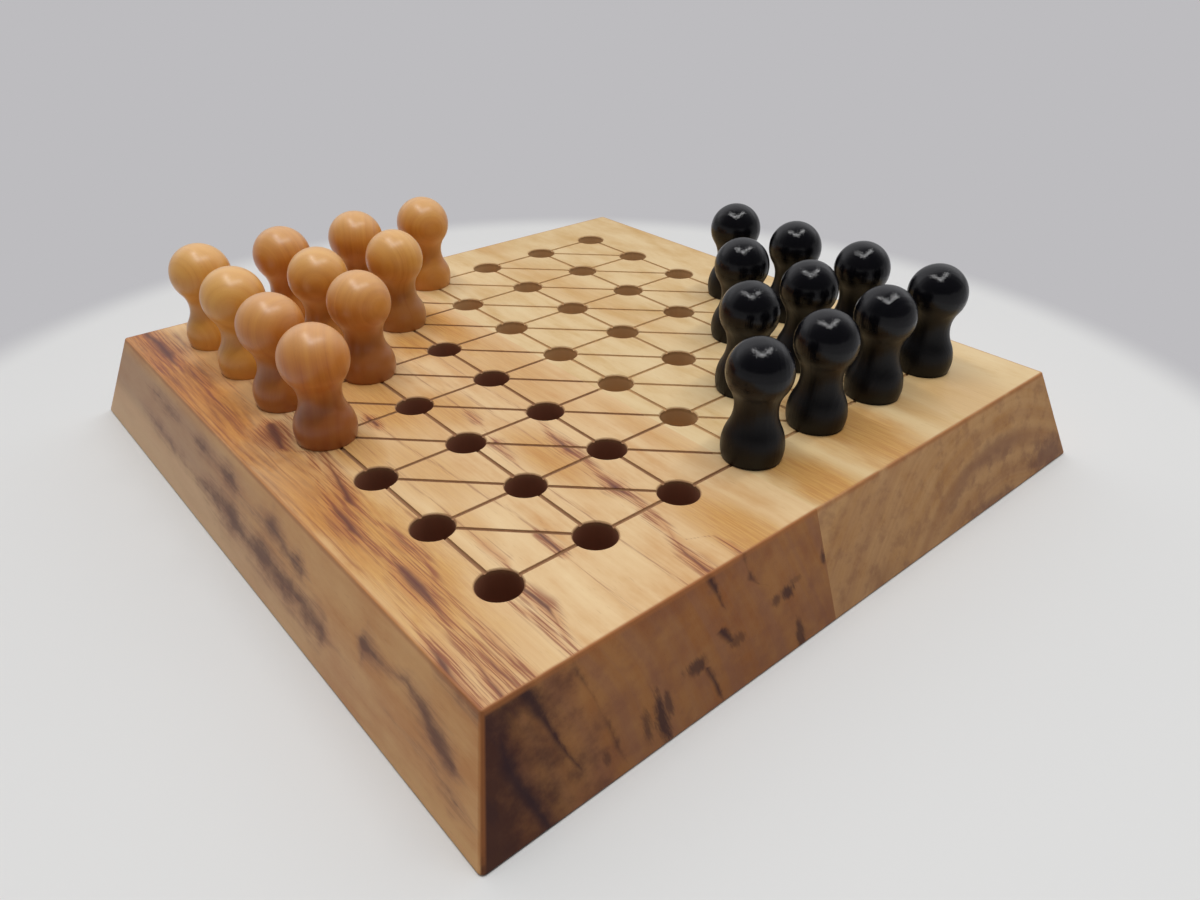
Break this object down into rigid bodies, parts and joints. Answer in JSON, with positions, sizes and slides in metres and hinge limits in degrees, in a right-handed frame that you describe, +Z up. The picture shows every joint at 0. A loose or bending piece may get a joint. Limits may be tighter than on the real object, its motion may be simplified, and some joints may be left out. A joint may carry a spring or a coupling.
{
  "type": "halma board game",
  "caption": "Square wooden peg board with sloping sides, glued from planks, with carved lines between its holes and turned pawns in opposite corners.",
  "frame": {"origin": "centre of the board's underside", "axes": "+Z up through the board, +Y along the wood grain from the front edge to the back edge, +X from the side of the natural pawns to the side of the black pawns"},
  "size_m": [0.212, 0.2144, 0.0573],
  "materials": {
    "plank_left_wood": "satin oiled",
    "plank_right_wood": "satin oiled",
    "natural_pawn_lacquer": "gloss lacquer",
    "black_pawn_lacquer": "gloss lacquer"
  },
  "bodies": {
    "board": {"plank_left": "plank_left_wood", "plank_right": "plank_right_wood"},
    "natural_pawn_01": {"natural_pawn_01": "natural_pawn_lacquer"},
    "natural_pawn_02": {"natural_pawn_02": "natural_pawn_lacquer"},
    "natural_pawn_03": {"natural_pawn_03": "natural_pawn_lacquer"},
    "natural_pawn_04": {"natural_pawn_04": "natural_pawn_lacquer"},
    "natural_pawn_05": {"natural_pawn_05": "natural_pawn_lacquer"},
    "natural_pawn_06": {"natural_pawn_06": "natural_pawn_lacquer"},
    "natural_pawn_07": {"natural_pawn_07": "natural_pawn_lacquer"},
    "natural_pawn_08": {"natural_pawn_08": "natural_pawn_lacquer"},
    "natural_pawn_09": {"natural_pawn_09": "natural_pawn_lacquer"},
    "natural_pawn_10": {"natural_pawn_10": "natural_pawn_lacquer"},
    "black_pawn_01": {"black_pawn_01": "black_pawn_lacquer"},
    "black_pawn_02": {"black_pawn_02": "black_pawn_lacquer"},
    "black_pawn_03": {"black_pawn_03": "black_pawn_lacquer"},
    "black_pawn_04": {"black_pawn_04": "black_pawn_lacquer"},
    "black_pawn_05": {"black_pawn_05": "black_pawn_lacquer"},
    "black_pawn_06": {"black_pawn_06": "black_pawn_lacquer"},
    "black_pawn_07": {"black_pawn_07": "black_pawn_lacquer"},
    "black_pawn_08": {"black_pawn_08": "black_pawn_lacquer"},
    "black_pawn_09": {"black_pawn_09": "black_pawn_lacquer"},
    "black_pawn_10": {"black_pawn_10": "black_pawn_lacquer"}
  },
  "joints": [
    {"name": "natural_pawn_01_lift", "type": "slide", "parent": "board", "child": "natural_pawn_01", "axis": [0, 0, 1], "range_m": [0, 0.045]},
    {"name": "natural_pawn_02_lift", "type": "slide", "parent": "board", "child": "natural_pawn_02", "axis": [0, 0, 1], "range_m": [0, 0.045]},
    {"name": "natural_pawn_03_lift", "type": "slide", "parent": "board", "child": "natural_pawn_03", "axis": [0, 0, 1], "range_m": [0, 0.045]},
    {"name": "natural_pawn_04_lift", "type": "slide", "parent": "board", "child": "natural_pawn_04", "axis": [0, 0, 1], "range_m": [0, 0.045]},
    {"name": "natural_pawn_05_lift", "type": "slide", "parent": "board", "child": "natural_pawn_05", "axis": [0, 0, 1], "range_m": [0, 0.045]},
    {"name": "natural_pawn_06_lift", "type": "slide", "parent": "board", "child": "natural_pawn_06", "axis": [0, 0, 1], "range_m": [0, 0.045]},
    {"name": "natural_pawn_07_lift", "type": "slide", "parent": "board", "child": "natural_pawn_07", "axis": [0, 0, 1], "range_m": [0, 0.045]},
    {"name": "natural_pawn_08_lift", "type": "slide", "parent": "board", "child": "natural_pawn_08", "axis": [0, 0, 1], "range_m": [0, 0.045]},
    {"name": "natural_pawn_09_lift", "type": "slide", "parent": "board", "child": "natural_pawn_09", "axis": [0, 0, 1], "range_m": [0, 0.045]},
    {"name": "natural_pawn_10_lift", "type": "slide", "parent": "board", "child": "natural_pawn_10", "axis": [0, 0, 1], "range_m": [0, 0.045]},
    {"name": "black_pawn_01_lift", "type": "slide", "parent": "board", "child": "black_pawn_01", "axis": [0, 0, 1], "range_m": [0, 0.045]},
    {"name": "black_pawn_02_lift", "type": "slide", "parent": "board", "child": "black_pawn_02", "axis": [0, 0, 1], "range_m": [0, 0.045]},
    {"name": "black_pawn_03_lift", "type": "slide", "parent": "board", "child": "black_pawn_03", "axis": [0, 0, 1], "range_m": [0, 0.045]},
    {"name": "black_pawn_04_lift", "type": "slide", "parent": "board", "child": "black_pawn_04", "axis": [0, 0, 1], "range_m": [0, 0.045]},
    {"name": "black_pawn_05_lift", "type": "slide", "parent": "board", "child": "black_pawn_05", "axis": [0, 0, 1], "range_m": [0, 0.045]},
    {"name": "black_pawn_06_lift", "type": "slide", "parent": "board", "child": "black_pawn_06", "axis": [0, 0, 1], "range_m": [0, 0.045]},
    {"name": "black_pawn_07_lift", "type": "slide", "parent": "board", "child": "black_pawn_07", "axis": [0, 0, 1], "range_m": [0, 0.045]},
    {"name": "black_pawn_08_lift", "type": "slide", "parent": "board", "child": "black_pawn_08", "axis": [0, 0, 1], "range_m": [0, 0.045]},
    {"name": "black_pawn_09_lift", "type": "slide", "parent": "board", "child": "black_pawn_09", "axis": [0, 0, 1], "range_m": [0, 0.045]},
    {"name": "black_pawn_10_lift", "type": "slide", "parent": "board", "child": "black_pawn_10", "axis": [0, 0, 1], "range_m": [0, 0.045]}
  ]
}
